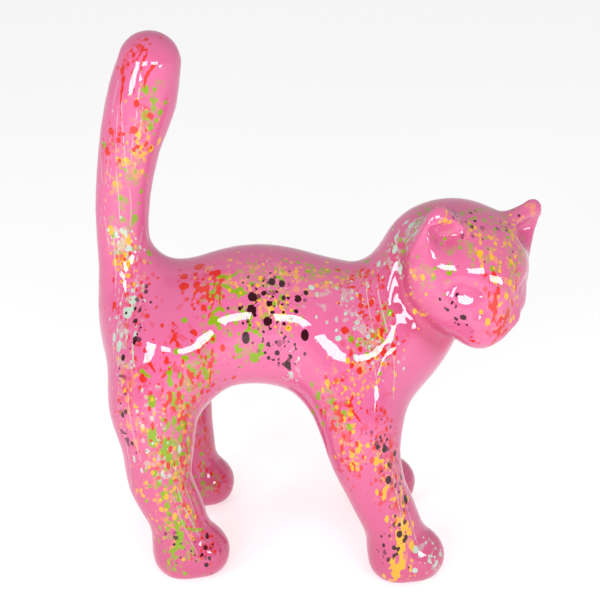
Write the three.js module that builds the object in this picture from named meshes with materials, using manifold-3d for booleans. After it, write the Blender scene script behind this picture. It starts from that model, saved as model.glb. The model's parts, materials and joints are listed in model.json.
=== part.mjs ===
// Resin cat sculpture: a smooth, stylised cat cast in one piece. It stands on four legs with its
// back arched and its tail straight up, and turns its lowered head over its right shoulder.
// Millimetres, +Z up, +X towards the chest, +Y towards the cat's left side. The origin is on the
// floor, under the middle of the casting.

import * as THREE from "three";
import { mergeVertices } from "three/addons/utils/BufferGeometryUtils.js";
import Module from "manifold-3d";

// Driving sizes, in millimetres.
const HEIGHT = 330; // from the floor to the tip of the tail
const FACET = 7; // spacing of the grid that the skin is drawn on
const CHORD = 0.5; // how far a facet may lie from the true skin before it is split
const GRIND = 1.0; // what is ground off the underside of each paw to make it stand flat

// The figure keeps its pose and proportions: every place and radius below is in hundredths of HEIGHT.
const SHARE = HEIGHT / 100;

// Each limb is a smooth row of stations, [x, y, z, radius].
const TAIL = [
  [-29.4, 0, 95.0, 5.6],
  [-31.1, 0, 88.4, 6.2],
  [-33.6, 0, 80.0, 5.5],
  [-35.2, 0, 70.6, 5.0],
  [-35.5, 0, 61.4, 4.9],
  [-33.4, 0, 52.8, 7.0],
];
const TORSO = [
  [-29.6, 0, 46.0, 10.7],
  [-21.0, 0, 46.6, 11.7],
  [-11.0, 0, 47.6, 13.1],
  [-1.5, 0, 45.9, 12.7],
  [7.5, 0, 42.6, 12.6],
];
const NECK = [
  [9.5, 0, 42.2, 12.0],
  [14.8, -0.6, 46.0, 11.0],
  [18.4, -1.2, 52.8, 10.4],
  [21.8, -2.0, 58.8, 10.5],
];
const NEAR_HIND_LEG = [
  [-26.8, -6.0, 42.0, 10.6],
  [-29.9, -9.5, 34.5, 8.7],
  [-29.5, -12.0, 27.0, 6.8],
  [-29.2, -12.7, 19.4, 6.0],
  [-26.4, -13.0, 12.0, 5.5],
  [-25.3, -13.1, 4.6, 5.2],
];
const FAR_HIND_LEG = [
  [-27.5, 6.0, 42.0, 9.8],
  [-28.0, 9.5, 34.5, 9.0],
  [-27.8, 12.0, 27.0, 7.0],
  [-27.0, 12.6, 19.4, 6.0],
  [-26.0, 13.1, 12.0, 5.4],
  [-25.6, 13.2, 4.6, 5.1],
];
const NEAR_FORE_LEG = [
  [6.4, -6.5, 38.8, 9.6],
  [7.8, -10.8, 32.3, 8.2],
  [8.8, -13.2, 25.0, 6.6],
  [11.1, -14.1, 18.0, 5.6],
  [14.1, -14.4, 11.0, 5.4],
  [15.4, -14.4, 4.6, 5.2],
];
const FAR_FORE_LEG = [
  [6.4, 6.5, 38.8, 9.6],
  [6.6, 10.5, 32.3, 8.4],
  [7.2, 12.4, 25.0, 6.9],
  [8.6, 12.9, 18.0, 5.8],
  [10.7, 13.0, 11.0, 5.1],
  [12.1, 13.2, 4.6, 5.0],
];
// A paw is one short stretch from heel to toes, measured from the middle of the leg's last station.
const PAW = { toe: 3.8, height: 4.3, heelRadius: 5.1, toeRadius: 5.0, breadth: 1.12 };
const SOLE_EDGE = 2.6; // how widely the rim of a sole is rounded

// The head has its own frame: forward, left and up from the middle of the skull.
const HEAD = { at: [26.5, -3.4, 57.3], yaw: -61, pitch: 14, roll: 7.5 };
const SKULL = { at: [-1.2, 0.1, 1.0], radii: [13.0, 12.0, 11.4] };
const CHEEK = { at: [2.4, 4.0, -3.1], radii: [7.1, 6.4, 6.5] };
const MUZZLE = { at: [9.2, 0, -5.0], radii: [4.6, 5.0, 4.2] };
const CHIN = { at: [7.8, 0, -7.8], radii: [3.6, 3.4, 2.6] };
const BRIDGE = { at: [9.2, 0, -0.4], radii: [3.4, 2.4, 4.6] };
const EYE = { at: [8.2, 4.8, -0.8], radii: [3.0, 3.6, 2.6] };
const EAR = { base: [0.2, 7.2, 5.8], tip: [0.6, 10.6, 12.8], baseRadius: 6.7, tipRadius: 2.2, thin: 0.7 };
const EAR_HOLLOW = { at: [4.8, 8.6, 8.2], radii: [2.8, 3.0, 3.6] };

// How widely neighbouring shapes run into each other.
const LIMB_BLEND = 9.0;
const TAIL_BLEND = 6.0;
const PAW_BLEND = 4.5;
const HEAD_BLEND = 4.0;
const FACE_BLEND = 3.6;
const EAR_BLEND = 2.4;

// How the skin is drawn: links between two stations, the reach of a slope, how often a point is
// moved onto the skin, how often the facets are evened out and by how much, and how often split.
const STATION_STEPS = 5;
const SLOPE_REACH = 0.05;
const LEAST_SLOPE = 0.2;
const LEAST_DISTANCE = 1e-4;
const SETTLE_ROUNDS = 4;
const RELAX_ROUNDS = 6;
const RELAX_SHARE = 0.6;
const SPLIT_ROUNDS = 2;

const length3 = (x, y, z) => Math.sqrt(x * x + y * y + z * z);

// Joins two distances with a fillet that is about as wide as the given radius.
function blend(a, b, radius) {
  const near = Math.max(radius - Math.abs(a - b), 0) / radius;
  return Math.min(a, b) - (near * near * near * radius) / 6;
}

// Cuts b's shape out of a's, with the edge eased over the radius.
const carve = (a, b, radius) => -blend(-a, b, radius);

// A limb: the distance to a round bar whose middle line and radius run smoothly through the stations.
function limb(stations, steps = STATION_STEPS) {
  const smooth = (points) => new THREE.CatmullRomCurve3(points);
  const middle = smooth(stations.map(([x, y, z]) => new THREE.Vector3(x, y, z)));
  const girth = smooth(stations.map(([, , , radius], i) => new THREE.Vector3(i, radius, 0)));
  const count = (stations.length - 1) * steps;
  const beads = Array.from({ length: count + 1 }, (_, i) => ({
    at: middle.getPoint(i / count),
    radius: girth.getPoint(i / count).y,
  }));
  const links = beads.slice(1).map((to, i) => {
    const from = beads[i];
    const along = to.at.clone().sub(from.at);
    const gain = to.radius - from.radius;
    return { from: from.at, along, square: along.lengthSq(), radius: from.radius, gain };
  });
  return (x, y, z) => {
    let nearest = Infinity;
    for (const { from, along, square, radius, gain } of links) {
      const px = x - from.x;
      const py = y - from.y;
      const pz = z - from.z;
      const t = Math.min(Math.max((px * along.x + py * along.y + pz * along.z) / square, 0), 1);
      const away = length3(px - t * along.x, py - t * along.y, pz - t * along.z) - radius - t * gain;
      if (away < nearest) nearest = away;
    }
    return nearest;
  };
}

// An egg shape: an ellipsoid with the given half lengths.
function egg({ at, radii }, side = 1) {
  const [rx, ry, rz] = radii;
  return (x, y, z) => {
    const px = x - at[0];
    const py = y - side * at[1];
    const pz = z - at[2];
    const inner = length3(px / rx, py / ry, pz / rz);
    const slope = length3(px / (rx * rx), py / (ry * ry), pz / (rz * rz));
    return slope < 1e-9 ? -Math.min(rx, ry, rz) : (inner * (inner - 1)) / slope;
  };
}

// A paw on the end of a leg: wider than it is long, and cut flat later.
function paw([x, y]) {
  const shape = limb(
    [
      [x, 0, PAW.height, PAW.heelRadius],
      [x + PAW.toe, 0, PAW.height, PAW.toeRadius],
    ],
    1,
  );
  return (px, py, pz) => shape(px, (py - y) / PAW.breadth, pz);
}

// An ear on one side of the head: a flattened cone with a hollow in its front.
function ear(side) {
  const { base, tip, baseRadius, tipRadius, thin } = EAR;
  const station = ([f, l, u], radius) => [f / thin, side * l, u, radius];
  const shell = limb([station(base, baseRadius), station(tip, tipRadius)], 1);
  const hollow = egg(EAR_HOLLOW, side);
  return (f, l, u) => carve(shell(f / thin, l, u) * thin, hollow(f, l, u), EAR_BLEND);
}

const towardsHead = new THREE.Matrix4()
  .makeTranslation(...HEAD.at)
  .multiply(new THREE.Matrix4().makeRotationZ(THREE.MathUtils.degToRad(HEAD.yaw)))
  .multiply(new THREE.Matrix4().makeRotationY(THREE.MathUtils.degToRad(HEAD.pitch)))
  .multiply(new THREE.Matrix4().makeRotationX(THREE.MathUtils.degToRad(-HEAD.roll)))
  .invert();

const faceParts = [
  egg(SKULL),
  egg(CHEEK, 1),
  egg(CHEEK, -1),
  egg(MUZZLE),
  egg(CHIN),
  egg(BRIDGE),
  egg(EYE, 1),
  egg(EYE, -1),
];
const ears = [ear(1), ear(-1)];
const point = new THREE.Vector3();

function head(x, y, z) {
  const { x: f, y: l, z: u } = point.set(x, y, z).applyMatrix4(towardsHead);
  const face = faceParts.map((part) => part(f, l, u)).reduce((a, b) => blend(a, b, FACE_BLEND));
  return ears.map((part) => part(f, l, u)).reduce((a, b) => blend(a, b, EAR_BLEND), face);
}

const legStations = [NEAR_HIND_LEG, FAR_HIND_LEG, NEAR_FORE_LEG, FAR_FORE_LEG];
const legs = legStations.map((stations) => {
  const leg = limb(stations);
  const foot = paw(stations.at(-1));
  return (x, y, z) => blend(leg(x, y, z), foot(x, y, z), PAW_BLEND);
});
const torso = limb(TORSO);
const neck = limb(NECK);
const tail = limb(TAIL);

// The whole figure, as the distance from a point to its skin. Negative is inside.
function figure(x, y, z) {
  let away = torso(x, y, z);
  for (const leg of legs) away = blend(away, leg(x, y, z), LIMB_BLEND);
  away = blend(away, neck(x, y, z), LIMB_BLEND);
  away = blend(away, tail(x, y, z), TAIL_BLEND);
  away = blend(away, head(x, y, z), HEAD_BLEND);
  return carve(away, z + GRIND / SHARE, SOLE_EDGE);
}

// Where the corners of a grid square lie in and out by turns, the skin would pinch. The corner
// nearest to the skin changes sides there, until no such square is left.
function unpinch(value, strides) {
  let changed = true;
  while (changed) {
    changed = false;
    for (let i = 0; i < value.length; i++)
      for (let n = 0; n < 3; n++) {
        const [u, v] = [strides[(n + 1) % 3], strides[(n + 2) % 3]];
        const square = [i, i + u, i + u + v, i + v];
        if (square[2] >= value.length) continue;
        const inside = square.map((at) => value[at] < 0);
        if (inside[0] !== inside[2] || inside[1] !== inside[3] || inside[0] === inside[1]) continue;
        const nearest = square.reduce((a, b) => (Math.abs(value[b]) < Math.abs(value[a]) ? b : a));
        value[nearest] = value[nearest] < 0 ? LEAST_DISTANCE : -LEAST_DISTANCE;
        changed = true;
      }
  }
}

// Draws the skin: one vertex in each cell of a grid that the skin passes through, and one
// four-sided face round each grid edge that it crosses.
function skinOf(distance, low, high, cell) {
  const count = low.map((v, i) => Math.ceil((high[i] - v) / cell) + 1);
  const [nx, ny, nz] = count;
  const index = (i, j, k) => (i * ny + j) * nz + k;
  const value = new Float32Array(nx * ny * nz);
  for (let i = 0; i < nx; i++)
    for (let j = 0; j < ny; j++)
      for (let k = 0; k < nz; k++)
        value[index(i, j, k)] = distance(low[0] + i * cell, low[1] + j * cell, low[2] + k * cell);
  const steps = [
    [1, 0, 0],
    [0, 1, 0],
    [0, 0, 1],
  ];
  unpinch(value, steps.map((step) => index(...step)));
  const corners = [0, 1, 2, 3, 4, 5, 6, 7].map((c) => [c & 1, (c >> 1) & 1, (c >> 2) & 1]);
  const edges = corners.flatMap((a, i) =>
    corners.slice(i + 1).flatMap((b) => (a.filter((v, n) => v !== b[n]).length === 1 ? [[a, b]] : [])),
  );
  const places = [];
  const vertexOf = new Map();
  for (let i = 0; i < nx - 1; i++)
    for (let j = 0; j < ny - 1; j++)
      for (let k = 0; k < nz - 1; k++) {
        const sum = [0, 0, 0];
        let crossings = 0;
        for (const [a, b] of edges) {
          const va = value[index(i + a[0], j + a[1], k + a[2])];
          const vb = value[index(i + b[0], j + b[1], k + b[2])];
          if (va < 0 === vb < 0) continue;
          const t = va / (va - vb);
          for (let n = 0; n < 3; n++) sum[n] += a[n] + t * (b[n] - a[n]);
          crossings++;
        }
        if (!crossings) continue;
        vertexOf.set(index(i, j, k), places.length);
        places.push([i, j, k].map((v, n) => low[n] + (v + sum[n] / crossings) * cell));
      }
  const faces = [];
  for (let i = 1; i < nx - 1; i++)
    for (let j = 1; j < ny - 1; j++)
      for (let k = 1; k < nz - 1; k++)
        for (let n = 0; n < 3; n++) {
          const here = value[index(i, j, k)] < 0;
          const next = value[index(i + steps[n][0], j + steps[n][1], k + steps[n][2])] < 0;
          if (here === next) continue;
          const u = steps[(n + 1) % 3];
          const v = steps[(n + 2) % 3];
          const around = [
            [0, 0],
            [1, 0],
            [1, 1],
            [0, 1],
          ].map(([a, b]) =>
            vertexOf.get(index(i - a * u[0] - b * v[0], j - a * u[1] - b * v[1], k - a * u[2] - b * v[2])),
          );
          faces.push(here ? around : around.reverse());
        }
  return { places, faces };
}

// The direction in which the distance grows, as long as its slope.
function outward(distance, [x, y, z]) {
  const reach = SLOPE_REACH;
  return [
    distance(x + reach, y, z) - distance(x - reach, y, z),
    distance(x, y + reach, z) - distance(x, y - reach, z),
    distance(x, y, z + reach) - distance(x, y, z - reach),
  ].map((v) => v / (2 * reach));
}

// Moves a point onto the skin.
function settle(distance, place, rounds = SETTLE_ROUNDS) {
  let p = place;
  for (let i = 0; i < rounds; i++) {
    const g = outward(distance, p);
    const square = g[0] * g[0] + g[1] * g[1] + g[2] * g[2];
    const away = distance(...p) / Math.max(square, LEAST_SLOPE);
    p = p.map((v, n) => v - away * g[n]);
  }
  return p;
}

// Evens out the facets: each vertex moves towards the middle of its neighbours and onto the skin.
function relax(distance, places, triangles) {
  const neighbours = places.map(() => new Set());
  for (const t of triangles)
    for (let n = 0; n < 3; n++) {
      neighbours[t[n]].add(t[(n + 1) % 3]);
      neighbours[t[(n + 1) % 3]].add(t[n]);
    }
  let now = places;
  for (let i = 0; i < RELAX_ROUNDS; i++) {
    now = now.map((p, v) => {
      const middle = [0, 0, 0];
      for (const w of neighbours[v])
        for (let n = 0; n < 3; n++) middle[n] += now[w][n] / neighbours[v].size;
      return settle(distance, p.map((c, n) => c + RELAX_SHARE * (middle[n] - c)));
    });
  }
  return now;
}

const between = (a, b) => a.map((v, n) => (v + b[n]) / 2);
const apart = (a, b) => length3(a[0] - b[0], a[1] - b[1], a[2] - b[2]);

// Parts each four-sided face along its shorter diagonal, or the other if that edge already exists.
function halve({ places, faces }) {
  const edge = (a, b) => (a < b ? `${a},${b}` : `${b},${a}`);
  const used = new Set(faces.flatMap((face) => face.map((v, n) => edge(v, face[(n + 1) % 4]))));
  return faces.flatMap((face) => {
    const lengths = [0, 1].map((n) => apart(places[face[n]], places[face[n + 2]]));
    const order = lengths[0] < lengths[1] ? [0, 1] : [1, 0];
    const start = order.find((n) => !used.has(edge(face[n], face[n + 2]))) ?? order[0];
    used.add(edge(face[start], face[start + 2]));
    const [a, b, c, d] = [0, 1, 2, 3].map((n) => face[(start + n) % 4]);
    return [
      [a, b, c],
      [a, c, d],
    ];
  });
}

// Splits each facet edge whose middle lies off the skin, so that the facets follow it closely.
function refine(distance, places, triangles, chord) {
  let faces = triangles;
  for (let round = 0; round < SPLIT_ROUNDS; round++) {
    const middles = new Map();
    const middleOf = (a, b) => {
      const edge = a < b ? `${a},${b}` : `${b},${a}`;
      if (!middles.has(edge)) {
        const middle = between(places[a], places[b]);
        const settled = settle(distance, middle);
        middles.set(edge, apart(middle, settled) > chord ? places.push(settled) - 1 : null);
      }
      return middles.get(edge);
    };
    faces = faces.flatMap((t) => split(t, t.map((v, n) => middleOf(v, t[(n + 1) % 3]))));
  }
  return faces;
}

// One facet as one to four smaller ones, for the edges that have a new vertex in their middle.
function split(t, middles) {
  const splits = middles.filter((v) => v !== null).length;
  if (splits === 0) return [t];
  if (splits === 3)
    return [
      [t[0], middles[0], middles[2]],
      [middles[0], t[1], middles[1]],
      [middles[2], middles[1], t[2]],
      middles,
    ];
  const whole = middles.findIndex((v) => v === null);
  const first = splits === 1 ? middles.findIndex((v) => v !== null) : (whole + 1) % 3;
  const [a, b, c] = [t[first], t[(first + 1) % 3], t[(first + 2) % 3]];
  const ab = middles[first];
  if (splits === 1)
    return [
      [a, ab, c],
      [ab, b, c],
    ];
  const bc = middles[(first + 1) % 3];
  return [
    [ab, b, bc],
    [a, ab, bc],
    [a, bc, c],
  ];
}

// The grid reaches past every station by its radius and a little room.
const ROOM = 4;
const earTips = [1, -1].map((side) => {
  const [f, l, u] = EAR.tip;
  return [...new THREE.Vector3(f, side * l, u).applyMatrix4(towardsHead.clone().invert()), EAR.tipRadius];
});
const reaches = [
  [...HEAD.at, SKULL.radii[0]],
  ...[TAIL, TORSO, NECK, ...legStations].flat(),
  ...legStations.map((stations) => [stations.at(-1)[0] + PAW.toe, ...stations.at(-1).slice(1)]),
  ...earTips,
];
const low = [0, 1, 2].map((n) => Math.min(...reaches.map((at) => at[n] - at[3])) - ROOM);
const high = [0, 1, 2].map((n) => Math.max(...reaches.map((at) => at[n] + at[3])) + ROOM);

const drawn = skinOf(figure, low, high, FACET / SHARE);
const halves = halve(drawn);
const places = relax(figure, drawn.places, halves);
const triangles = refine(figure, places, halves, CHORD / SHARE);

const wasm = await Module();
wasm.setup();

// A three.js geometry as a solid that can be cut and joined.
function solid(geometry) {
  geometry.deleteAttribute("normal");
  geometry.deleteAttribute("uv");
  const merged = mergeVertices(geometry);
  return new wasm.Manifold(
    new wasm.Mesh({
      numProp: 3,
      vertProperties: merged.attributes.position.array,
      triVerts: new Uint32Array(merged.index.array),
    }),
  );
}

// A cut solid as a three.js geometry.
function geometryOf(cut) {
  const { vertProperties, triVerts } = cut.getMesh();
  const geometry = new THREE.BufferGeometry();
  geometry.setAttribute("position", new THREE.BufferAttribute(vertProperties, 3));
  geometry.setIndex(new THREE.BufferAttribute(triVerts, 1));
  geometry.computeVertexNormals();
  return geometry;
}

const skin = new THREE.BufferGeometry();
const skinPlaces = places.flat().map((v) => v * SHARE);
skin.setAttribute("position", new THREE.Float32BufferAttribute(skinPlaces, 3));
skin.setIndex(triangles.flat());

// The floor plane grinds the paws flat, and the casting is moved so that its middle is over the origin.
const grinder = new THREE.BoxGeometry(2 * HEIGHT, 2 * HEIGHT, HEIGHT).translate(0, 0, -HEIGHT / 2);
const casting = geometryOf(solid(skin).subtract(solid(grinder)));
casting.computeBoundingBox();
const centre = casting.boundingBox.getCenter(new THREE.Vector3());
casting.translate(-centre.x, -centre.y, 0);

const lacquer = new THREE.MeshStandardMaterial({ color: 0xf47ba8, roughness: 0.12, metalness: 0 });
const cat = new THREE.Mesh(casting, lacquer);
cat.name = "cat";

const sculpture = new THREE.Group();
sculpture.name = "resin_cat_sculpture";
sculpture.add(cat);

export default sculpture;
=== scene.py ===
# %% [markdown]
# A standing cat cast in resin, sprayed pink, splattered with paint and sealed under a thick clear coat.
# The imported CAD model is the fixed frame: it says how large the cat is and where each part of it lies.
# This file gives that shape a fine, even skin, carves the face into it, and mixes the paint.

# %% Load the frame
import math
import random

import bmesh
import bpy
import numpy as np
from mathutils import Euler, Matrix, Vector
from mathutils.kdtree import KDTree
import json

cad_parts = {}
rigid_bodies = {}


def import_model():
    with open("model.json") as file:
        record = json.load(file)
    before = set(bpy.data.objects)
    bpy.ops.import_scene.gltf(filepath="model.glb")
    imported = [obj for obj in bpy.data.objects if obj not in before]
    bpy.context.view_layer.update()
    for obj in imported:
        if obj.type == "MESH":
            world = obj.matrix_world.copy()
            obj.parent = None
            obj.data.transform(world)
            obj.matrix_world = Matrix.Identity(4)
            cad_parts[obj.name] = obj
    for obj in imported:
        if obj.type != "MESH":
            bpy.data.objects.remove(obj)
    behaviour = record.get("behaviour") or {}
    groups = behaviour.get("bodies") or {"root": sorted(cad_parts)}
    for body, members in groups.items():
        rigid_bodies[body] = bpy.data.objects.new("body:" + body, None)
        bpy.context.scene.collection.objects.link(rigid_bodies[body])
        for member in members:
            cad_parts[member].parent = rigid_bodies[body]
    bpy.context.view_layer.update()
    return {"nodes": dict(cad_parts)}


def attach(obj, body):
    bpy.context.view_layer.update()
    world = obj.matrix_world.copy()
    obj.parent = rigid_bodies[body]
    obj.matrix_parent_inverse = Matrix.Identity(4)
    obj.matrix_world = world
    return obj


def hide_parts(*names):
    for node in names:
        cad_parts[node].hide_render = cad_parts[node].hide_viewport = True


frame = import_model()
MM = 0.001

# %% [markdown]
# The camera stands a little above the cat and looks at its side, as someone looks at a sculpture on a
# table. It is 0.83 m away, so the near paws look a little larger than the far ones. A long lens keeps
# that small. The view is made first, because every later choice is compared with it.

# %% Camera
CAMERA_TARGET = Vector((-10.54, 2.13, 166.0)) * MM
CAMERA_DISTANCE = 0.830
CAMERA_HEIGHT_ANGLE = math.radians(22)
SENSOR_WIDTH = 36.0
LENS = 80.82

camera_data = bpy.data.cameras.new("camera")
camera_data.sensor_width = SENSOR_WIDTH
camera_data.lens = LENS
camera = bpy.data.objects.new("camera", camera_data)
camera.location = CAMERA_TARGET + CAMERA_DISTANCE * Vector(
    (0, -math.cos(CAMERA_HEIGHT_ANGLE), math.sin(CAMERA_HEIGHT_ANGLE))
)
camera.rotation_euler = Euler((math.radians(90) - CAMERA_HEIGHT_ANGLE, 0, 0))
bpy.context.scene.collection.objects.link(camera)
bpy.context.scene.camera = camera
print("camera at", [round(x, 3) for x in camera.location])

# %% [markdown]
# A sculptor's casting has no facets, but the CAD solid is drawn with about ten thousand flat ones. A
# voxel remesh lays an even net of small squares over it, and rounds of smoothing then melt the facets.
# Plain smoothing would shrink the cat, so each round pushes back out a little more than it pulled in.

# %% An even skin
VOXEL = 1.55 * MM
SMOOTH_ROUNDS = 40
PULL_IN = 0.50
PUSH_OUT = -0.53


def even_skin(source, name):
    """A new object with the source's shape in a net of even squares."""
    mesh = source.data.copy()
    welded = bmesh.new()
    welded.from_mesh(mesh)
    bmesh.ops.remove_doubles(welded, verts=welded.verts, dist=0.01 * MM)
    welded.to_mesh(mesh)
    welded.free()
    piece = bpy.data.objects.new(name, mesh)
    bpy.context.scene.collection.objects.link(piece)
    remesh = piece.modifiers.new("even_net", "REMESH")
    remesh.mode = "VOXEL"
    remesh.voxel_size = VOXEL
    seen = bpy.context.evaluated_depsgraph_get()
    piece.data = bpy.data.meshes.new_from_object(piece.evaluated_get(seen))
    piece.modifiers.clear()
    piece.data.name = name
    piece.data.materials.clear()
    return piece


def points_of(mesh):
    """The mesh's points as an array, in millimetres."""
    points = np.zeros(len(mesh.vertices) * 3)
    mesh.vertices.foreach_get("co", points)
    return points.reshape(-1, 3) / MM


def set_points(mesh, points):
    """Puts an array of points, in millimetres, back into the mesh."""
    mesh.vertices.foreach_set("co", (points * MM).ravel())
    mesh.update()


def normals_of(mesh):
    """The mesh's normals at its points."""
    normals = np.zeros(len(mesh.vertices) * 3)
    mesh.vertices.foreach_get("normal", normals)
    return normals.reshape(-1, 3)


def edges_of(mesh):
    """The two end points of each edge, as numbers of points."""
    edges = np.zeros(len(mesh.edges) * 2, dtype=np.int64)
    mesh.edges.foreach_get("vertices", edges)
    return edges.reshape(-1, 2)


def pull(points, edges, share):
    """Each point moved by a share of the way to the middle of its neighbours."""
    total = np.zeros_like(points)
    count = np.bincount(edges.ravel(), minlength=len(points))[:, None]
    for axis in range(3):
        total[:, axis] = np.bincount(edges[:, 0], points[edges[:, 1], axis], len(points))
        total[:, axis] += np.bincount(edges[:, 1], points[edges[:, 0], axis], len(points))
    return points + share * (total / count - points)


def melt(points, edges, rounds):
    """Smoothing that keeps the size of the form."""
    for _ in range(rounds):
        points = pull(points, edges, PULL_IN)
        points = pull(points, edges, PUSH_OUT)
    return points


cat = even_skin(frame["nodes"]["cat"], "painted_cat")
edges = edges_of(cat.data)
points = melt(points_of(cat.data), edges, SMOOTH_ROUNDS)
set_points(cat.data, points)
print("points in the skin:", len(points))

# %% [markdown]
# The face is modelled in the head's own frame, with axes forward, to the cat's left and up, because
# the head is turned and tilted. Closed eyes, ears and muzzle are shallow work: a stroke moves the skin
# near a line in or out, as a loop tool does in clay, and a press moves the skin near a place, as a
# thumb does.

# %% Tools for modelling
HEAD_AT = np.array((87.41, -9.09, 189.09))
HEAD_TURN = np.array(
    Matrix.Rotation(math.radians(-61), 3, "Z")
    @ Matrix.Rotation(math.radians(14), 3, "Y")
    @ Matrix.Rotation(math.radians(-7.5), 3, "X")
)


def out_of_head(places):
    """Places in the head's own frame, as places on the cat."""
    return np.array(places, float) @ HEAD_TURN.T + HEAD_AT


def distance_to_line(points, line):
    """The distance of each point to a line of several points."""
    nearest = np.full(len(points), np.inf)
    for start, end in zip(line[:-1], line[1:]):
        along = end - start
        share = np.clip((points - start) @ along / (along @ along), 0, 1)
        nearest = np.minimum(nearest, np.linalg.norm(points - start - share[:, None] * along, axis=1))
    return nearest


def nearness(points, line, reach):
    """1 on a line, and less with the distance from it."""
    return np.exp(-((distance_to_line(points, line) / reach) ** 2))


def stroke(line, width, height):
    """Moves the skin near a line along its normals, most on the line itself."""
    global points
    points = points + (height * nearness(points, line, width))[:, None] * normals_of(cat.data)
    set_points(cat.data, points)


def press(middle, reach, shift):
    """Moves the skin near a place by a shift."""
    global points
    near = np.exp(-((np.linalg.norm(points - middle, axis=1) / reach) ** 2))
    points = points + near[:, None] * np.array(shift, float)
    set_points(cat.data, points)


# %% [markdown]
# Both sides of the face are nearly the same, so each feature is given once, for the cat's right side,
# and mirrored. Its places were read off the photograph by eye, turned into places on the cat by a
# separate program, and rounded. A shift has its second number turned round on the left side.

# %% Both sides of the face
RIGHT_SIDE = np.array((1, 1, 1))
LEFT_SIDE = np.array((1, -1, 1))
EAR_RIM_WIDTH = 2.4
EAR_RIM_RAISE = 1.3
EAR_HOLLOW_REACH = 6.0
EAR_HOLLOW_SHIFT = (-4.6, 0, -0.8)
EAR_HOLLOW_SHADE = 0.45
MUZZLE_REACH = 6.2
MUZZLE_SHIFT = (2.4, -3.0, 0.8)
EYE_LID_REACH = 7.5
EYE_LID_SHIFT = (-1.4, 1.8, -0.4)
EYE_CREASE_WIDTH = 1.7
EYE_CREASE_RAISE = -1.1
EYE_CREASE_SHADE = 0.75
EYE_CREASE_SHADE_WIDTH = 1.3
EYE_CREASE = [(25.1, -30.2, 4.2), (25.3, -29.2, 7.0), (26.4, -27.3, 9.6), (28.0, -24.8, 11.7),
              (30.6, -21.6, 11.7), (33.2, -18.0, 11.1), (34.7, -15.8, 9.8), (36.3, -14.0, 7.9)]
EYE_LID = (32.0, -22.5, 4.5)
EAR_RIM = [(0.6, -44.0, 17.6), (1.0, -42.8, 24.3), (2.6, -41.8, 32.6), (4.4, -40.4, 39.0),
           (5.6, -36.2, 42.5), (5.6, -28.0, 41.0), (8.0, -20.5, 38.0), (12.0, -17.4, 34.5)]
EAR_HOLLOWS = [(8.5, -35.5, 35.0), (9.5, -31.0, 31.0), (10.5, -26.5, 30.0)]
MUZZLE_PUFF = (39.0, -13.0, -10.0)
painted_shade = np.zeros(len(points))


def paint_shade_along(line, reach, share):
    """Marks the skin near a line for painted shade: a deeper pink, as the shade in a crease."""
    global painted_shade
    painted_shade = np.maximum(painted_shade, share * nearness(points, line, reach))


# Painted shade: the ear hollows and eye creases are marked for a deeper pink, as the shade in them.
for side in (RIGHT_SIDE, LEFT_SIDE):
    stroke(out_of_head(EAR_RIM * side), EAR_RIM_WIDTH, EAR_RIM_RAISE)
    for hollow in EAR_HOLLOWS:
        press(out_of_head(hollow * side), EAR_HOLLOW_REACH, HEAD_TURN @ (EAR_HOLLOW_SHIFT * side))
    paint_shade_along(out_of_head(EAR_HOLLOWS * side), EAR_HOLLOW_REACH, EAR_HOLLOW_SHADE)
    press(out_of_head(MUZZLE_PUFF * side), MUZZLE_REACH, HEAD_TURN @ (MUZZLE_SHIFT * side))
    press(out_of_head(EYE_LID * side), EYE_LID_REACH, HEAD_TURN @ (EYE_LID_SHIFT * side))
    stroke(out_of_head(EYE_CREASE * side), EYE_CREASE_WIDTH, EYE_CREASE_RAISE)
    paint_shade_along(out_of_head(EYE_CREASE * side), EYE_CREASE_SHADE_WIDTH, EYE_CREASE_SHADE)
print("deeper pink on both sides, share of the points:", round(float((painted_shade > 0.1).mean()), 3))

# %% [markdown]
# Some of the face is on one side only, or in the middle. The tip of the right ear alone is bent down.
# The groove where the cheek meets the neck is only on the right, where the neck is folded, and its pink is
# painted deeper as painted shade. A few rounds of settling soften all the strokes. The pink is also painted
# deeper low on the legs, as painted shade that darkens towards the floor.

# %% The rest of the face
EAR_TIP = (3.0, -38.0, 44.0)
EAR_TIP_REACH = 7.0
EAR_TIP_SHIFT = (0, 1.0, -5.0)
NOSE_RAISE = 0.6
NOSE_BRIDGE_WIDTH = 4.0
NOSE_TIP_WIDTH = 3.4
CHEEK_GROOVE_WIDTH = 4.8
CHEEK_GROOVE_RAISE = -3.2
CHEEK_GROOVE_SHADE = 0.9
CHEEK_GROOVE_SHADE_WIDTH = 11
NOSE_BRIDGE = [(33, 0, 20), (38, 0, 8), (43, 0, -5)]
NOSE_TIP = [(44.0, -1.5, -9.0), (44.0, 1.5, -9.0)]
CHEEK_GROOVE = [(-8.8, -45.2, 12.3), (-6.0, -46.3, 5.8), (-0.7, -46.0, -3.3), (5.9, -44.0, -13.3),
                (11.6, -40.2, -18.3), (15.8, -36.1, -21.6), (19.3, -30.5, -25.5), (20.7, -23.8, -30.2),
                (20.4, -15.0, -35.8)]
press(out_of_head(EAR_TIP), EAR_TIP_REACH, HEAD_TURN @ EAR_TIP_SHIFT)
stroke(out_of_head(NOSE_BRIDGE), NOSE_BRIDGE_WIDTH, NOSE_RAISE)
stroke(out_of_head(NOSE_TIP), NOSE_TIP_WIDTH, NOSE_RAISE)
stroke(out_of_head(CHEEK_GROOVE), CHEEK_GROOVE_WIDTH, CHEEK_GROOVE_RAISE)
# Painted shade: the cheek groove is marked for a deeper pink, as the shade in it.
paint_shade_along(out_of_head(CHEEK_GROOVE), CHEEK_GROOVE_SHADE_WIDTH, CHEEK_GROOVE_SHADE)

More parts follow.
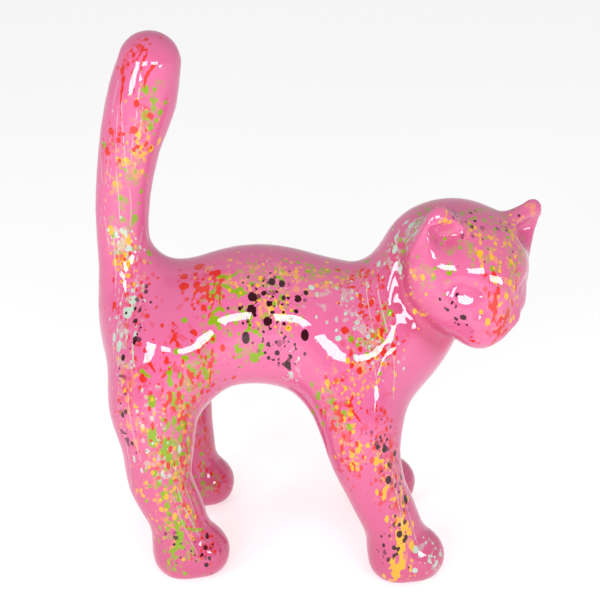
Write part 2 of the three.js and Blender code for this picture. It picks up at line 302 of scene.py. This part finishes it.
LOW = 130.0
LOW_SHADE = 0.6
SETTLE_ROUNDS = 3
SETTLE_PULL = 0.3
for _ in range(SETTLE_ROUNDS):
    points = pull(points, edges, SETTLE_PULL)
points[:, 2] = np.maximum(points[:, 2], 0)
set_points(cat.data, points)
# Painted shade: below the height LOW the pink is marked deeper towards the floor.
painted_shade = np.maximum(painted_shade, LOW_SHADE * np.clip(1 - points[:, 2] / LOW, 0, 1))
cat.data.polygons.foreach_set("use_smooth", [True] * len(cat.data.polygons))
print("triangles:", sum(len(face.vertices) - 2 for face in cat.data.polygons))

# %% [markdown]
# The paint was thrown and dripped on, colour by colour: drops, runs that hang from them, short strings
# and long threads. Each point of the skin keeps, for every colour, how far it lies from the middle of
# the nearest mark, as a vector, and how thick that mark is. A shader turns the two into a sharp edge.
# A vector is exact between the points too, so a mark may be finer than the net of the skin.

# %% How paint is thrown
AWAY = -3.0
MARK_RIM = 2.6
GAP = -0.4
COLOURS = ("green", "yellow", "mint", "thread", "red", "black")
inside = {colour: np.full(len(points), -MARK_RIM) for colour in COLOURS}
offsets = {colour: np.zeros((len(points), 3)) for colour in COLOURS}
radii = {colour: np.full(len(points), AWAY) for colour in COLOURS}
mist = {colour: np.zeros(len(points)) for colour in COLOURS}
normals = normals_of(cat.data)
finder = KDTree(len(points))
for number, point in enumerate(points):
    finder.insert(point, number)
finder.balance()
owners = {colour: np.zeros(len(points), dtype=int) for colour in COLOURS}
placed = {colour: [] for colour in COLOURS}
marks = 0
dice = random.Random(11)


def on_skin(place):
    """A place moved straight onto the skin."""
    nearest = finder.find(place)[1]
    return place - normals[nearest] * ((place - points[nearest]) @ normals[nearest])


def near_to(middle, reach):
    """The points of the skin in a cube around a place."""
    return np.flatnonzero(np.abs(points - middle).max(1) < reach)


def keep(colour, near, offset, radius):
    """Keeps the newest mark at the points where no other mark of that colour lies nearer."""
    within = radius - np.linalg.norm(offset, axis=1)
    better = within > inside[colour][near]
    inside[colour][near[better]] = within[better]
    offsets[colour][near[better]] = offset[better]
    radii[colour][near[better]] = np.broadcast_to(radius, len(near))[better]
    owners[colour][near[better]] = marks


def is_free(colour, middle, radius):
    """Whether a drop here would stay clear of the other drops of its colour."""
    return all((middle - other).length > radius + size + GAP for other, size in placed[colour])


def drop(colour, middle, radius, run=1.0):
    """One drop, drawn out downwards by the factor run."""
    global marks
    marks += 1
    placed[colour].append((Vector(middle), radius))
    near = near_to(middle, radius * run + 2 * MARK_RIM)
    keep(colour, near, (points[near] - middle) * (1, 1, 1 / run), radius)


def trail(colour, line, first, last):
    """A line of paint along the skin, whose radius goes from first to last."""
    global marks
    marks += 1
    count = len(line) - 1
    for number, (start, end) in enumerate(zip(line[:-1], line[1:])):
        along = end - start
        near = near_to((start + end) / 2, np.linalg.norm(along) / 2 + first + 2 * MARK_RIM)
        share = np.clip((points[near] - start) @ along / (along @ along), 0, 1)
        radius = first + (last - first) * (number + share) / count
        keep(colour, near, points[near] - start - share[:, None] * along, radius)


def walk(start, heading, steps, step, turn):
    """A path over the skin that starts off in one direction and bends at random."""
    line = [on_skin(np.array(start, float))]
    heading = np.array(heading, float)
    for _ in range(steps):
        heading = heading / np.linalg.norm(heading) + [dice.gauss(0, turn) for _ in range(3)]
        line.append(on_skin(line[-1] + step * heading / np.linalg.norm(heading)))
    return line


def throw(colour, line, drops, spread, sizes, run, runs=0):
    """Drops of one colour along a line on the skin, the first few of them with a run of paint below."""
    line = np.array(line, float)
    lengths = np.linalg.norm(np.diff(line, axis=0), axis=1)
    small, large = sizes
    for number in range(drops):
        part = dice.choices(range(len(lengths)), lengths)[0]
        middle = line[part] + (line[part + 1] - line[part]) * dice.random()
        middle = on_skin(middle + [dice.gauss(0, spread) for _ in range(3)])
        radius = small + (large - small) * dice.random() ** 2.4
        if not is_free(colour, Vector(middle), radius):
            continue
        if number < runs:
            radius = large * dice.uniform(0.6, 0.9)
            trail(colour, walk(middle, (0, 0, -1), dice.randint(3, 7), 3.5, 0.1), radius * 0.5, 0.4)
        drop(colour, middle, radius, 1 + (run - 1) * dice.random())
    mist[colour] = np.maximum(mist[colour], nearness(points, line, 1.5 * spread + 5))


def strings(colour, place, count, spread, heading, steps, radius, turn):
    """Short thick strings of paint that start around a place."""
    for _ in range(count):
        start = np.array(place, float) + [dice.gauss(0, spread) for _ in range(3)]
        line = walk(start, heading, dice.randint(2, steps), 3.2, turn)
        trail(colour, line, radius * dice.uniform(0.7, 1.1), radius * dice.uniform(0.3, 0.8))


def threads(place, count, spread, heading, steps, radius):
    """Long fine threads of pale paint that run side by side."""
    for _ in range(count):
        start = np.array(place, float) + [dice.gauss(0, spread) for _ in range(3)]
        line = walk(start, heading, dice.randint(steps // 2, steps), 4.0, 0.035)
        trail("thread", line, radius * dice.uniform(0.6, 1.1), radius * 0.5)


# %% [markdown]
# Now the marks themselves, at places in millimetres. The near side is the one that people look at. The
# far side gets the same throws again, thinner, as if the painter had turned the cat round and gone on.
# Where two marks meet outside their edges, the farther one is let go, so no false paint appears there.
# A throw gives a colour, a line on the skin, the number of drops, their spread about the line, the
# least and largest radius, how far a drop is drawn out and, for some, how many drops have a run.

# %% Sizes of drops
FINE = (0.5, 1.4)
MEDIUM = (0.6, 2.1)
COARSE = (0.7, 3.1)
print("radii of drops in mm:", FINE, MEDIUM, COARSE)

# %% Throws on the body
BODY_THROWS = [
    ("green", [(-65, -28, 183), (-50, -33, 180), (-44, -37, 172)], 7, 5, COARSE, 1.4),
    ("green", [(-60, -38, 168), (-75, -50, 142), (-83, -53, 115)], 15, 7, COARSE, 2.0),
    ("green", [(-83, -53, 115), (-90, -58, 98), (-88, -58, 60)], 13, 6, COARSE, 2.4),
    ("green", [(-88, -58, 60), (-86, -62, 14)], 12, 5, COARSE, 2.4),
    ("green", [(-94, -17, 304), (-96, -16, 278)], 4, 3, (1.2, 3.2), 1.5),
    ("green", [(-44, -37, 174), (-20, -36, 176)], 7, 7, MEDIUM, 1.6),
    ("green", [(-36, -38, 165), (-44, -40, 148)], 6, 5, COARSE, 1.4),
    ("green", [(37, -36, 168), (27, -46, 153)], 8, 6, MEDIUM, 1.4),
    ("green", [(2, -36, 130), (14, -54, 112)], 7, 6, MEDIUM, 2.0),
    ("green", [(-40, -20, 192), (20, -14, 192)], 10, 8, MEDIUM, 1.2),
    ("green", [(-110, -17, 260), (-112, -16, 200)], 6, 7, MEDIUM, 1.4),
    ("green", [(-72, -46, 140), (-82, -54, 90), (-80, -56, 30)], 20, 10, FINE, 2.2),
    ("green", [(45, -20, 205), (60, -22, 222), (64, -2, 226)], 7, 7, MEDIUM, 2.0),
    ("mint", [(42, -22, 200), (56, -22, 222)], 6, 6, MEDIUM, 3.0),
    ("yellow", [(-112, -44, 140), (-100, -56, 90), (-84, -58, 30)], 16, 9, FINE, 2.0),
    ("yellow", [(-60, -20, 190), (20, -20, 190)], 10, 9, FINE, 1.2),
    ("red", [(-110, -20, 200), (-110, -44, 140), (-100, -56, 90)], 12, 10, FINE, 2.0),
    ("yellow", [(-99, -15, 290), (-110, -15, 251), (-119, -14, 245)], 8, 6, MEDIUM, 1.5),
    ("yellow", [(-120, -14, 214), (-111, -19, 189)], 12, 5, MEDIUM, 1.6),
    ("yellow", [(-36, -28, 188), (-33, -34, 180), (-21, -38, 169)], 14, 5, MEDIUM, 1.3),
    ("yellow", [(-72, -50, 130), (-84, -56, 60)], 10, 8, FINE, 1.8),
    ("yellow", [(12, -48, 140), (20, -61, 90)], 12, 6, MEDIUM, 2.2),
    ("yellow", [(34, -46, 158), (24, -50, 132)], 8, 7, MEDIUM, 1.6),
    ("yellow", [(36, -59, 92), (50, -59, 57)], 12, 5, MEDIUM, 2.6),
    ("yellow", [(50, -60, 52), (50, -64, 8)], 14, 3.5, (1.0, 3.2), 2.8),
    ("red", [(-95, -8, 330), (-104, -12, 323), (-112, -8, 312)], 8, 3, MEDIUM, 2.6, 2),
    ("red", [(-114, -16, 280), (-122, -11, 262)], 6, 4, (1.0, 4.0), 1.4),
    ("red", [(-98, -18, 290), (-102, -16, 268)], 5, 4, MEDIUM, 2.0),
    ("red", [(-74, -12, 191), (-61, -26, 185), (-75, -30, 179)], 13, 5, COARSE, 2.0, 3),
    ("red", [(-80, -44, 164), (-88, -50, 140), (-84, -52, 110)], 20, 8, MEDIUM, 2.8, 2),
    ("red", [(-60, -34, 160), (-66, -46, 140), (-70, -48, 110)], 14, 6, MEDIUM, 2.6, 1),
    ("red", [(-76, -53, 98), (-76, -56, 60)], 12, 7, MEDIUM, 2.2),
    ("red", [(25, -10, 190), (31, -28, 178), (40, -39, 163)], 14, 7, MEDIUM, 3.4, 4),
    ("red", [(20, -46, 155), (40, -46, 150)], 9, 6, COARSE, 1.4),
    ("red", [(10, -51, 133), (16, -59, 107), (20, -61, 82)], 16, 6, FINE, 3.6, 3),
    ("red", [(34, -56, 120), (44, -60, 60)], 12, 8, FINE, 2.6),
    ("red", [(-75, -53, 45), (-66, -58, 18)], 12, 5, FINE, 1.5),
    ("mint", [(-119, -10, 214), (-113, -16, 200)], 4, 4, MEDIUM, 1.8),
    ("mint", [(-108, -21, 185), (-117, -30, 166), (-115, -43, 143)], 6, 4, COARSE, 2.2),
    ("mint", [(-98, -50, 128), (-94, -56, 80)], 6, 6, FINE, 2.4),
    ("mint", [(66, -59, 26), (72, -58, 10)], 7, 4, COARSE, 1.6),
    ("mint", [(10, -28, 182), (34, -46, 150)], 6, 9, MEDIUM, 1.6),
    ("mint", [(-12, -35, 150), (-16, -34, 130)], 3, 3, MEDIUM, 2.4),
    ("black", [(-34, -30, 186), (-18, -30, 184), (-24, -36, 174)], 13, 6.5, COARSE, 1.1),
    ("black", [(-44, -37, 174), (-20, -38, 168)], 5, 5, MEDIUM, 1.2),
    ("black", [(-34, -41, 156), (-16, -40, 157), (-24, -37, 138)], 8, 5, COARSE, 1.7),
    ("black", [(-100, -17, 188), (-108, -33, 170), (-105, -42, 161), (-114, -42, 144)], 9, 1.5, MEDIUM, 1.6),
    ("black", [(-116, -44, 138), (-112, -54, 96)], 3, 2, FINE, 2.0),
    ("black", [(37, -59, 104), (48, -55, 75), (52, -56, 58)], 5, 4, MEDIUM, 2.0),
    ("black", [(48, -61, 52), (41, -62, 24)], 5, 4, MEDIUM, 1.6),
    ("black", [(-88, -59, 34), (-63, -56, 18)], 4, 5, FINE, 1.4),
]
print("throws on the body:", len(BODY_THROWS))

# %% Throws inside the legs and on the head
INNER_THROWS = [
    ("red", [(-74, 30, 70), (-72, 33, 45), (-66, 30, 18)], 9, 5, FINE, 1.6),
    ("green", [(-74, 30, 64), (-72, 27, 16)], 3, 5, FINE, 1.4),
    ("red", [(-74, -34, 60), (-66, -30, 18)], 6, 5, FINE, 1.6),
    ("red", [(30, 30, 90), (60, 36, 30)], 6, 6, FINE, 1.6),
]
HEAD_THROWS = [
    ("black", [(74, -47, 184), (80, -50, 176), (86, -46, 168)], 2, 3.5, (0.9, 2.8), 1.9),
    ("red", [(98, -45, 203), (102, -47, 186), (104, -44, 164)], 8, 1.6, (0.8, 2.4), 3.2, 3),
    ("yellow", [(95, -40, 215), (112, -40, 196), (110, -44, 170)], 10, 6, MEDIUM, 1.5),
    ("yellow", [(108, -29, 216), (128, -5, 226)], 5, 3, FINE, 1.2),
    ("yellow", [(56, -37, 196), (60, -40, 172)], 4, 5, FINE, 1.2),
    ("green", [(80, -20, 230), (112, -20, 222)], 5, 5, FINE, 1.0),
    ("green", [(58, -38, 196), (84, -40, 216), (110, -40, 200)], 5, 7, MEDIUM, 1.2),
    ("black", [(80, -20, 230), (96, -34, 214)], 1, 7, (0.5, 1.2), 1.0),
    ("yellow", [(120, -12, 232), (112, -24, 214)], 4, 3, MEDIUM, 1.4),
    ("red", [(100, -47, 166), (112, -30, 158)], 5, 3, MEDIUM, 1.6),
]
print("throws inside the legs:", len(INNER_THROWS), "on the head:", len(HEAD_THROWS))

# %% [markdown]
# Strings and threads start around a place. Each row gives the place, how many there are, their spread,
# the way they head, the most steps and the radius. A string has a colour, and a number for its bends.

# %% Strings and threads
STRINGS = [
    ("green", (-63, -28, 182), 5, 5, (1, 0, 0.2), 5, 1.5, 0.55),
    ("green", (-74, -48, 146), 5, 6, (0.3, 0, -1), 6, 1.6, 0.55),
    ("green", (-84, -54, 100), 4, 6, (0, 0, -1), 6, 1.4, 0.35),
    ("green", (-88, -60, 45), 4, 4, (0, 0, -1), 7, 1.6, 0.25),
    ("green", (-44, -36, 168), 3, 4, (0.5, 0, -1), 5, 1.5, 0.5),
    ("green", (34, -40, 160), 3, 6, (0.4, 0, -1), 5, 1.3, 0.5),
    ("red", (-62, -24, 186), 4, 4, (-0.2, -0.3, -1), 8, 0.9, 0.18),
    ("red", (-100, -12, 322), 4, 5, (-0.8, 0, -1), 5, 0.9, 0.15),
    ("red", (26, -24, 182), 6, 6, (0.15, -0.2, -1), 9, 0.9, 0.12),
    ("red", (12, -54, 120), 4, 5, (0.1, 0, -1), 8, 0.8, 0.15),
    ("red", (-86, -48, 142), 4, 6, (0, 0, -1), 6, 1.0, 0.25),
    ("yellow", (50, -60, 40), 3, 2, (0, 0, -1), 9, 1.6, 0.12),
    ("yellow", (-30, -34, 180), 3, 4, (0.2, 0, -1), 5, 1.1, 0.35),
    ("mint", (-110, -34, 160), 3, 4, (-0.2, -0.3, -1), 8, 0.9, 0.2),
]
THREADS = [
    ((-114, -12, 300), 7, 6, (-0.08, 0, -1), 24, 0.32),
    ((-106, -18, 205), 5, 8, (-0.15, -0.35, -1), 22, 0.36),
    ((-28, -14, 196), 4, 3, (0.1, -0.5, -1), 17, 0.34),
    ((-112, -44, 130), 4, 6, (0.15, -0.1, -1), 16, 0.32),
    ((28, -24, 186), 4, 9, (0.25, -0.5, -1), 18, 0.32),
    ((48, -56, 80), 3, 5, (0.15, 0, -1), 14, 0.32),
    ((-80, -56, 60), 3, 6, (0.2, 0, -1), 11, 0.32),
]
print("rows of strings:", len(STRINGS), "rows of threads:", len(THREADS))

# %% Throwing the paint
NEAR_SHARE = 3.4
FAR_SHARE = 1.8
for colour, line, drops, spread, sizes, run, *runs in BODY_THROWS + INNER_THROWS + HEAD_THROWS:
    throw(colour, line, round(drops * NEAR_SHARE), spread, sizes, run, *runs)
for colour, line, drops, spread, sizes, run, *_ in BODY_THROWS:
    throw(colour, line * LEFT_SIDE, round(drops * FAR_SHARE), spread, sizes, run)
for colour, line, drops, spread, sizes, run, *_ in HEAD_THROWS:
    other_cheek = out_of_head(((np.array(line) - HEAD_AT) @ HEAD_TURN) * LEFT_SIDE)
    throw(colour, other_cheek, round(drops * FAR_SHARE), spread, sizes, run)
for mark in STRINGS:
    strings(*mark)
for colour, place, count, spread, heading, steps, radius, turn in STRINGS[::2]:
    strings(colour, place * LEFT_SIDE, count // 2, spread, heading * LEFT_SIDE, steps, radius, turn)
for place, count, spread, heading, steps, radius in THREADS:
    threads(place, count, spread, heading, steps, radius)
    threads(place * LEFT_SIDE, count // 2, spread, heading * LEFT_SIDE, steps, radius)

for colour in COLOURS:
    one, other = edges.T
    meet = (owners[colour][one] != owners[colour][other]) & (
        np.minimum(inside[colour][one], inside[colour][other]) < 0
    )
    farther = np.where(inside[colour][one] < inside[colour][other], one, other)[meet]
    radii[colour][farther] = AWAY
    offsets[colour][farther] = 0
    print(colour, "share of the skin:", round(float((inside[colour] > 0).mean()), 3))


def keep_on_skin(name, kind, values):
    """Keeps a number or a vector for each point, where the shader can read it."""
    attribute = cat.data.attributes.new(name, kind, "POINT")
    field = "vector" if kind == "FLOAT_VECTOR" else "value"
    attribute.data.foreach_set(field, values.astype(np.float32).ravel())


for colour in COLOURS:
    keep_on_skin(colour + "_offset", "FLOAT_VECTOR", offsets[colour])
    keep_on_skin(colour + "_radius", "FLOAT", radii[colour])
    keep_on_skin(colour + "_mist", "FLOAT", mist[colour])
keep_on_skin("painted_shade", "FLOAT", painted_shade)

# %% [markdown]
# Shader maths reads best as plain sums. This small class wraps a node's output, and each operator on
# it adds the Math node that does that sum, so a mask is written as an expression and not as a net.

# %% Sums of sockets


class Wire:
    """A node's output, which takes part in sums."""

    def __init__(self, nodes, socket):
        self.nodes = nodes
        self.socket = socket

    def math(self, operation, *values):
        return self.nodes.add("ShaderNodeMath", {"operation": operation}, values)

    def __add__(self, other):
        return self.math("ADD", self, other)

    def __radd__(self, other):
        return self.math("ADD", other, self)

    def __sub__(self, other):
        return self.math("SUBTRACT", self, other)

    def __rsub__(self, other):
        return self.math("SUBTRACT", other, self)

    def __mul__(self, other):
        return self.math("MULTIPLY", self, other)

    def __rmul__(self, other):
        return self.math("MULTIPLY", other, self)

    def at_least(self, other):
        return self.math("MAXIMUM", self, other)


class Nodes:
    """The nodes of one material or world."""

    def __init__(self, owner):
        owner.use_nodes = True
        self.tree = owner.node_tree
        self.tree.nodes.clear()

    def add(self, kind, settings=None, values=(), output=0):
        """One node: its settings first, then the values or links of its sockets. Returns an output."""
        made = self.tree.nodes.new(kind)
        for name, setting in (settings or {}).items():
            setattr(made, name, setting)
        items = values.items() if isinstance(values, dict) else enumerate(values)
        for key, value in items:
            if isinstance(value, Wire):
                self.tree.links.new(value.socket, made.inputs[key])
            else:
                made.inputs[key].default_value = value
        return Wire(self, made.outputs[output]) if made.outputs else None

    def attribute(self, name, output="Fac"):
        """A number or a vector kept at the points of the mesh."""
        return self.add("ShaderNodeAttribute", {"attribute_name": name}, output=output)

    def noise(self, vector, scale, detail=0.0):
        """Smooth noise around 0, from about -0.5 to 0.5."""
        values = {"Vector": vector, "Scale": scale, "Detail": detail}
        return self.add("ShaderNodeTexNoise", None, values) - 0.5

    def vector(self, operation, *values, output=0):
        """A sum of vectors."""
        return self.add("ShaderNodeVectorMath", {"operation": operation}, values, output)

    def cut(self, height, edge):
        """0 below the height 0 and 1 above it, over a short soft edge."""
        values = {"Value": height, "From Min": -edge, "From Max": edge}
        return self.add("ShaderNodeMapRange", {"interpolation_type": "SMOOTHSTEP"}, values)

    def over(self, below, colour, mask):
        """A colour laid over another where the mask is 1."""
        return self.add("ShaderNodeMix", {"data_type": "RGBA"}, {0: mask, 6: below, 7: colour}, 2)


# %% [markdown]
# The lacquer: a pink ground coat, thrown paint, and a thick clear coat over it all. The clear coat
# gives the sharp reflections, so the paint below it is dull. A mist of fine specks lies around the
# marks: round cells of a net of random points, only some of them filled. Marks that were thick have
# firm edges, so only a little noise moves the edge of a black drop, and none that of a thread.

# %% Lacquer
PINK = (0.575, 0.112, 0.248, 1)
# The deeper pink below is painted shade, laid in creases and low on the legs.
PAINTED_SHADE_PINK = (0.40, 0.035, 0.095, 1)
PAINTS = {
    "green": ((0.20, 0.31, 0.008, 1), 1.7),
    "yellow": ((0.66, 0.34, 0.024, 1), 1.5),
    "mint": ((0.40, 0.50, 0.42, 1), 1.6),
    "thread": ((0.46, 0.50, 0.42, 1), 0.0),
    "red": ((0.56, 0.026, 0.016, 1), 1.6),
    "black": ((0.030, 0.002, 0.006, 1), 0.5),
}
EDGE = 0.2
PAINTED_SHADE_SHARE = 0.75
THREAD_SHARE = 0.7
SPECK_STRETCH = (1.0, 1.0, 0.75)
SPECK_SCALE = 330.0
SPECK_MIST = 0.32
SPECK_RARE = 0.93
SPECK_SIZE = 1.7
SPECK_RAGGED = 0.18
SPECK_EDGE = 0.06
SPECK_LEAST = 0.35
SPECK_VARY = 0.65
VEIL_SCALE = 190.0
VEIL_CONTRAST = 1.6
VEIL_MIST = 0.5
VEIL_START = 0.62
VEIL_EDGE = 0.12
VEIL_SHARE = 0.42
lacquer = bpy.data.materials.new("splattered_lacquer")
nodes = Nodes(lacquer)
skin = nodes.add("ShaderNodeTexCoord", output="Object")
wobble = nodes.noise(skin, 330.0, 1.0) + nodes.noise(skin, 120.0) * 0.7


def specks(colour, number):
    """Specks of random size and strength, each in one cell of a net of random points."""
    moved = nodes.vector("MULTIPLY", skin, SPECK_STRETCH)
    moved = nodes.vector("ADD", moved, (number * 0.37, number * 0.11, 0.0))
    net = {"Vector": moved, "Scale": SPECK_SCALE}
    distance = nodes.add("ShaderNodeTexVoronoi", None, net, "Distance")
    chance = nodes.add("ShaderNodeTexVoronoi", None, net, "Color")
    chances = [nodes.add("ShaderNodeSeparateColor", None, (chance,), part) for part in ("Red", "Green")]
    size = chances[0] + nodes.attribute(colour + "_mist") * SPECK_MIST - SPECK_RARE
    height = size * SPECK_SIZE + wobble * SPECK_RAGGED - distance
    return nodes.cut(height, SPECK_EDGE) * (SPECK_LEAST + chances[1] * SPECK_VARY)


def veil(colour, number):
    """Thin see-through patches of a colour among its drops."""
    moved = nodes.vector("ADD", skin, (number * 0.71, 0.0, number * 0.23))
    patches = nodes.noise(moved, VEIL_SCALE, 1.0) * VEIL_CONTRAST
    patches = patches + nodes.attribute(colour + "_mist") * VEIL_MIST
    return nodes.cut(patches - VEIL_START, VEIL_EDGE) * VEIL_SHARE


# Painted shade: the ground pink turns to a deeper pink in the ear hollows, eye creases, cheek groove and low
# on the legs.
base = nodes.over(PINK, PAINTED_SHADE_PINK, nodes.attribute("painted_shade") * PAINTED_SHADE_SHARE)
for number, colour in enumerate(("green", "yellow", "red", "mint")):
    base = nodes.over(base, PAINTS[colour][0], veil(colour, number))
for number, (colour, (paint, ragged)) in enumerate(PAINTS.items()):
    away = nodes.vector("LENGTH", nodes.attribute(colour + "_offset", "Vector"), output="Value")
    height = nodes.attribute(colour + "_radius") - away
    mask = nodes.cut(height + wobble * ragged, EDGE)
    if colour == "thread":
        mask = mask * THREAD_SHARE
    else:
        mask = mask.at_least(specks(colour, number))
    base = nodes.over(base, paint, mask)

nodes.add(
    "ShaderNodeOutputMaterial",
    None,
    {
        "Surface": nodes.add(
            "ShaderNodeBsdfPrincipled",
            None,
            {
                "Base Color": base,
                "Roughness": 0.5,
                "Specular IOR Level": 0.0,
                "Coat Weight": 1.0,
                "Coat Roughness": 0.02,
                "Coat IOR": 1.5,
            },
        )
    },
)
cat.data.materials.append(lacquer)
print("nodes in the lacquer:", len(nodes.tree.nodes))

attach(cat, "root")
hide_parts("cat")

# %% [markdown]
# A glossy figure shows its surroundings. Behind it is a bright white backdrop, which makes its rims
# pale. In front the room is dim, with a row of soft boxes beside the camera. The clear coat shows them
# as the broken white ribbon along the back and haunch, so their place and size are part of the look.

# %% Light


def soft_box(name, angle_round, angle_up, distance, width, height, radiance):
    """A rectangular lamp that looks at the cat, placed by angles as seen from the cat."""
    lamp = bpy.data.lights.new(name, "AREA")
    lamp.shape = "RECTANGLE"
    lamp.size = width
    lamp.size_y = height
    lamp.energy = radiance * math.pi * width * height
    box = bpy.data.objects.new(name, lamp)
    turn, rise = math.radians(angle_round), math.radians(angle_up)
    away = Vector((math.sin(turn) * math.cos(rise), -math.cos(turn) * math.cos(rise), math.sin(rise)))
    box.location = LIT_POINT + away * distance
    box.rotation_euler = away.to_track_quat("Z", "Y").to_euler()
    bpy.context.scene.collection.objects.link(box)


LIT_POINT = Vector((0, 0, 0.15))
RADIANCE = 18
soft_box("left_box", -17, 19, 0.9, 0.24, 0.18, RADIANCE)
soft_box("right_box", 18, 19, 0.9, 0.40, 0.15, RADIANCE)
soft_box("far_left_box", -42, 17, 0.9, 0.20, 0.21, RADIANCE)
soft_box("side_box", 42, 8, 1.0, 0.20, 0.11, RADIANCE)

# %% Room
FRONT_LIGHT = 0.12
BACK_LIGHT = 0.76
FADE_START = -0.45
FADE_END = 0.35
ABOVE_SHARE = 0.5
world = bpy.data.worlds.new("white_room")
room = Nodes(world)
direction = room.add("ShaderNodeTexCoord", output="Generated")
behind = room.add("ShaderNodeSeparateXYZ", None, (direction,), "Y")
above = room.add("ShaderNodeSeparateXYZ", None, (direction,), "Z")
fade = {
    "Value": behind + above * ABOVE_SHARE,
    "From Min": FADE_START,
    "From Max": FADE_END,
    "To Min": FRONT_LIGHT,
    "To Max": BACK_LIGHT,
}
strength = room.add("ShaderNodeMapRange", {"interpolation_type": "SMOOTHSTEP"}, fade)
sky = room.add("ShaderNodeBackground", None, {"Color": (1, 1, 1, 1), "Strength": strength})
room.add("ShaderNodeOutputWorld", None, {"Surface": sky})
bpy.context.scene.world = world
bpy.context.scene.view_settings.view_transform = "Standard"
print("light in front and behind:", FRONT_LIGHT, BACK_LIGHT)

# %% [markdown]
# The floor is plain and pale, and large, so that its edge is never seen. It glows a little, because in
# a white studio the light comes from below as well.

# %% Floor
FLOOR_HALF = 30.0
CORNERS = [(-1, -1, 0), (1, -1, 0), (1, 1, 0), (-1, 1, 0)]
floor_mesh = bpy.data.meshes.new("floor")
floor_mesh.from_pydata([Vector(corner) * FLOOR_HALF for corner in CORNERS], [], [(0, 1, 2, 3)])
floor = bpy.data.objects.new("floor", floor_mesh)
bpy.context.scene.collection.objects.link(floor)
pale = bpy.data.materials.new("pale_floor")
sheet = Nodes(pale)
white = {
    "Base Color": (0.75, 0.75, 0.75, 1),
    "Roughness": 1.0,
    "Specular IOR Level": 0.0,
    "Emission Color": (1, 1, 1, 1),
    "Emission Strength": 0.46,
}
sheet.add("ShaderNodeOutputMaterial", None, {"Surface": sheet.add("ShaderNodeBsdfPrincipled", None, white)})
floor_mesh.materials.append(pale)
print("floor, half its width in metres:", FLOOR_HALF)

# %% [markdown]
# Last comes one more import.

# %% The last line
import json
